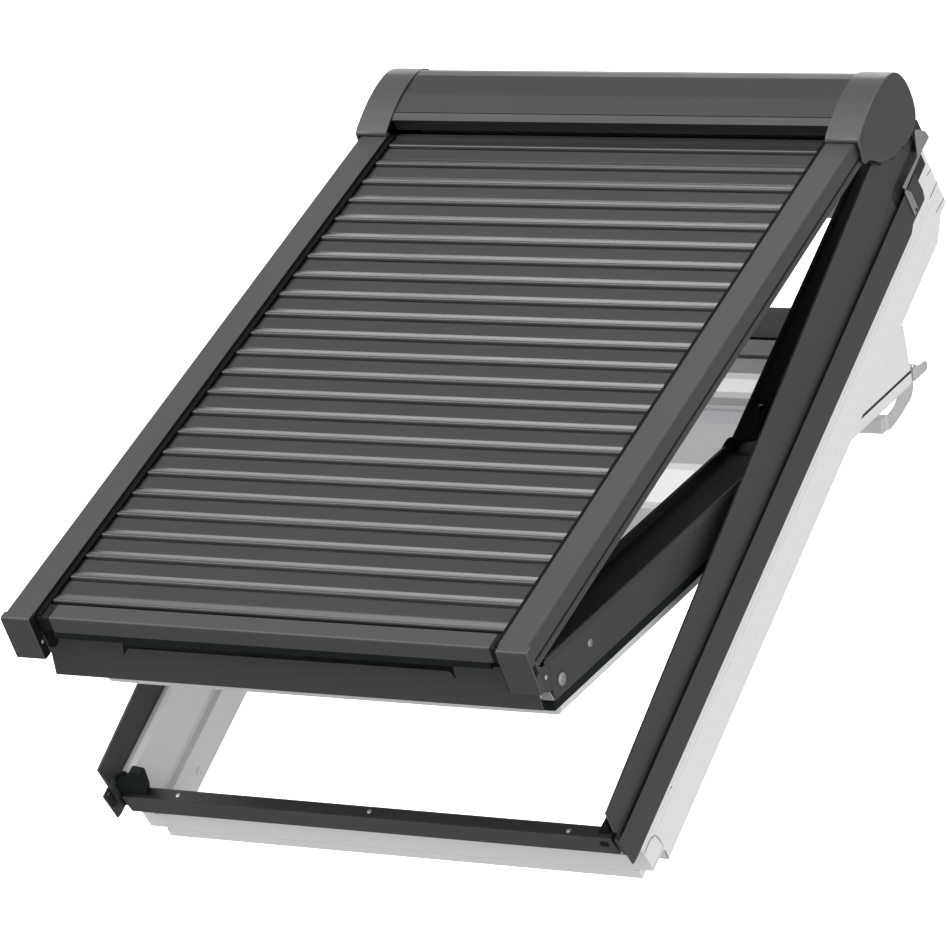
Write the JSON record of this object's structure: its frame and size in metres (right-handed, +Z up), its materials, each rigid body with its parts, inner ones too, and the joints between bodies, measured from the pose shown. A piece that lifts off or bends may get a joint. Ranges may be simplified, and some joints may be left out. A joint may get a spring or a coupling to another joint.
{
  "type": "electric roller shutter",
  "caption": "Dark slatted roller shutter fitted over a centre-pivot roof window, shown open, with a rounded top box, side rails and a white frame and sash.",
  "frame": {"origin": "On the underside of the frame's bottom member, halfway across the window.", "axes": "X runs across the window, Y runs level up the roof, from the bottom edge to the top edge, Z is up. The window frame lies at a roof pitch of 45 degrees."},
  "size_m": [0.803, 1.1861, 1.0306],
  "materials": {
    "graphite_cover": "satin powder coat, dark grey",
    "slat": "satin coil coat, dark grey",
    "white_member": "pine under smooth white paint",
    "glass": "clear insulating pane",
    "black_part": "matte black",
    "steel_part": "zinc plated",
    "handle": "brushed, clear anodised"
  },
  "bodies": {
    "frame": {"frame_bottom": "white_member", "frame_top": "white_member", "frame_left": "white_member", "frame_right": "white_member", "side_cover_left": "graphite_cover", "side_cover_right": "graphite_cover", "upper_trim_left": "graphite_cover", "upper_trim_right": "graphite_cover", "sill_cover": "graphite_cover", "box_cover": "graphite_cover", "box_back": "graphite_cover", "box_end_left": "graphite_cover", "box_end_right": "graphite_cover", "tube_motor": "black_part", "pivot_block_left": "steel_part", "pivot_block_right": "steel_part"},
    "roller": {"roller_tube": "steel_part"},
    "shutter": {"rail_left": "graphite_cover", "rail_right": "graphite_cover", "rail_cap_left": "graphite_cover", "rail_cap_right": "graphite_cover", "hinge_arm_left": "steel_part", "hinge_arm_right": "steel_part"},
    "curtain": {"slat_01": "slat", "slat_02": "slat", "slat_03": "slat", "slat_04": "slat", "slat_05": "slat", "slat_06": "slat", "slat_07": "slat", "slat_08": "slat", "slat_09": "slat", "slat_10": "slat", "slat_11": "slat", "slat_12": "slat", "slat_13": "slat", "slat_14": "slat", "slat_15": "slat", "slat_16": "slat", "slat_17": "slat", "slat_18": "slat", "slat_19": "slat", "slat_20": "slat", "slat_21": "slat", "slat_22": "slat", "slat_23": "slat", "slat_24": "slat", "bottom_bar": "slat"},
    "sash": {"sash_left": "white_member", "sash_right": "white_member", "sash_top": "white_member", "sash_bottom": "white_member", "glazing": "glass", "sash_cover_top": "graphite_cover", "sash_cover_bottom": "graphite_cover", "sash_cover_left": "graphite_cover", "sash_cover_right": "graphite_cover", "carry_pad_left": "black_part", "carry_pad_right": "black_part"},
    "vent": {"vent_flap": "handle"}
  },
  "joints": [
    {"name": "sash_pivot", "type": "hinge", "parent": "frame", "child": "sash", "pos_m": [0, 0.32315, 0.57205], "axis": [1, 0, 0], "range_deg": [0, 24.9]},
    {"name": "shutter_lift", "type": "hinge", "parent": "frame", "child": "shutter", "pos_m": [0, 0.61377, 0.95601], "axis": [1, 0, 0], "range_deg": [0, 13.4]},
    {"name": "curtain_travel", "type": "slide", "parent": "shutter", "child": "curtain", "axis": [0, 0.8231, 0.5678], "range_m": [0, 0.0436]},
    {"name": "roller_turn", "type": "hinge", "parent": "frame", "child": "roller", "pos_m": [0, 0.61377, 0.95601], "axis": [1, 0, 0], "range_deg": [-84, 0]},
    {"name": "vent_flap_turn", "type": "hinge", "parent": "sash", "child": "vent", "pos_m": [0, 0.79555, 0.61193], "axis": [1, 0, 0], "range_deg": [0, 15]}
  ],
  "couplings": [
    {"joint": "shutter_lift", "follows": "sash_pivot", "ratio": 0.538},
    {"joint": "roller_turn", "follows": "curtain_travel", "rad_per_m": -33.333}
  ]
}
